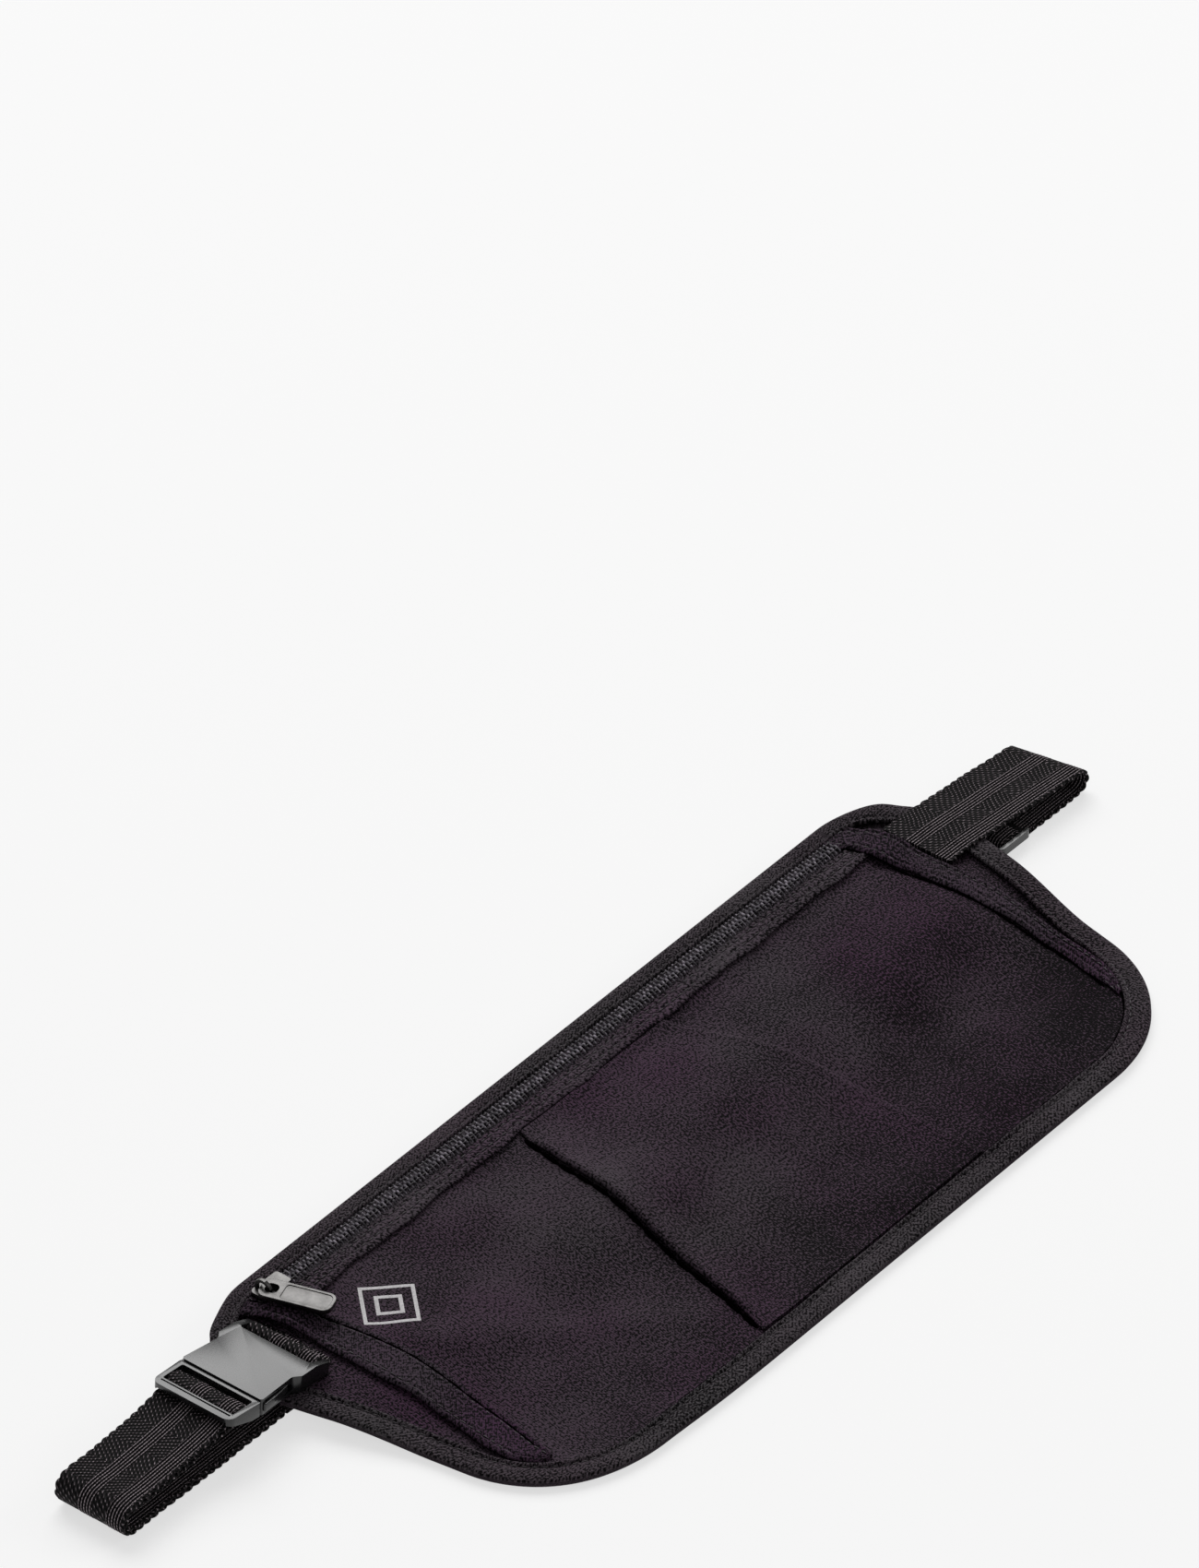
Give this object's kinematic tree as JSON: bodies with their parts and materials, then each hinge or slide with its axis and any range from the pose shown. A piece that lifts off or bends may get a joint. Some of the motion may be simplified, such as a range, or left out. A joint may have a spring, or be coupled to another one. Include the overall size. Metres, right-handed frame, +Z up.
{
  "type": "money belt",
  "caption": "Flat zipped travel pouch with a centre slip pocket, worn on an adjustable webbing strap that closes with a side-release buckle.",
  "frame": {"origin": "middle of the laid-out belt's footprint, on the surface it lies on", "axes": "+X along the belt away from the buckle end, +Y across the pouch towards its zip edge, +Z up, out of the pouch's front"},
  "size_m": [0.4082, 0.1304, 0.0146],
  "materials": {
    "pouch_cloth": "fine twill microfibre, matt",
    "binding_tape": "twill binding tape",
    "zip_nylon": "woven tape and nylon coil",
    "strap_webbing": "herringbone and ribbed webbing",
    "buckle_plastic": "moulded, satin to gloss",
    "adjuster_plastic": "moulded, gloss",
    "zip_metal": "satin plated zinc"
  },
  "bodies": {
    "root": {"back_panel": "pouch_cloth", "front_panel": "pouch_cloth", "centre_panel": "pouch_cloth", "edge_binding": "binding_tape", "hem_band_left": "pouch_cloth", "hem_band_right": "pouch_cloth", "zip_welt": "pouch_cloth", "zip_tape_upper": "zip_nylon", "zip_tape_lower": "zip_nylon", "zip_coil_upper": "zip_nylon", "zip_coil_lower": "zip_nylon", "anchor_webbing": "strap_webbing", "strap_right_run": "strap_webbing", "strap_right_fold": "strap_webbing", "strap_right_lower": "strap_webbing", "strap_under_run": "strap_webbing", "strap_return_run": "strap_webbing", "buckle_female": "buckle_plastic"},
    "zip_slider": {"slider_body": "zip_metal", "slider_bail": "zip_metal"},
    "puller": {"zip_puller": "zip_metal"},
    "male_half": {"buckle_male": "buckle_plastic", "strap_left_fold_outer": "strap_webbing", "strap_left_fold_inner": "strap_webbing", "strap_left_run_outer": "strap_webbing", "strap_left_run_inner": "strap_webbing", "strap_bar_wrap": "strap_webbing"},
    "latch_front": {"latch_arm_front": "buckle_plastic"},
    "latch_rear": {"latch_arm_rear": "buckle_plastic"},
    "adjuster": {"adjuster_frame": "adjuster_plastic", "adjuster_loop": "strap_webbing", "adjuster_bridge": "strap_webbing"}
  },
  "joints": [
    {"name": "zip_slide", "type": "slide", "parent": "root", "child": "zip_slider", "axis": [1, 0, 0], "range_m": [0, 0.232], "deforming": ["zip_coil_upper", "zip_coil_lower"]},
    {"name": "puller_swing", "type": "hinge", "parent": "zip_slider", "child": "puller", "pos_m": [-0.11255, 0.0546, 0.01095], "axis": [-0.9573, -0.289, 0], "range_deg": [0, 170]},
    {"name": "buckle_release", "type": "slide", "parent": "root", "child": "male_half", "axis": [-0.9925, 0, 0.1219], "range_m": [0, 0.03], "deforming": ["latch_arm_front", "latch_arm_rear"]},
    {"name": "latch_squeeze_front", "type": "hinge", "parent": "male_half", "child": "latch_front", "pos_m": [-0.15001, 0.029, 0.0109], "axis": [0.1219, 0, 0.9925], "range_deg": [0, 11], "stiffness_Nm_per_rad": 0.005},
    {"name": "latch_squeeze_rear", "type": "hinge", "parent": "male_half", "child": "latch_rear", "pos_m": [-0.15001, 0.045, 0.0109], "axis": [-0.1219, 0, -0.9925], "range_deg": [0, 11], "stiffness_Nm_per_rad": 0.005},
    {"name": "adjuster_slide", "type": "slide", "parent": "root", "child": "adjuster", "axis": [-0.9999, 0.0113, 0], "range_m": [-0.012, 0.2], "deforming": ["strap_return_run"]}
  ],
  "couplings": [
    {"joint": "latch_squeeze_rear", "follows": "latch_squeeze_front", "ratio": 1}
  ]
}
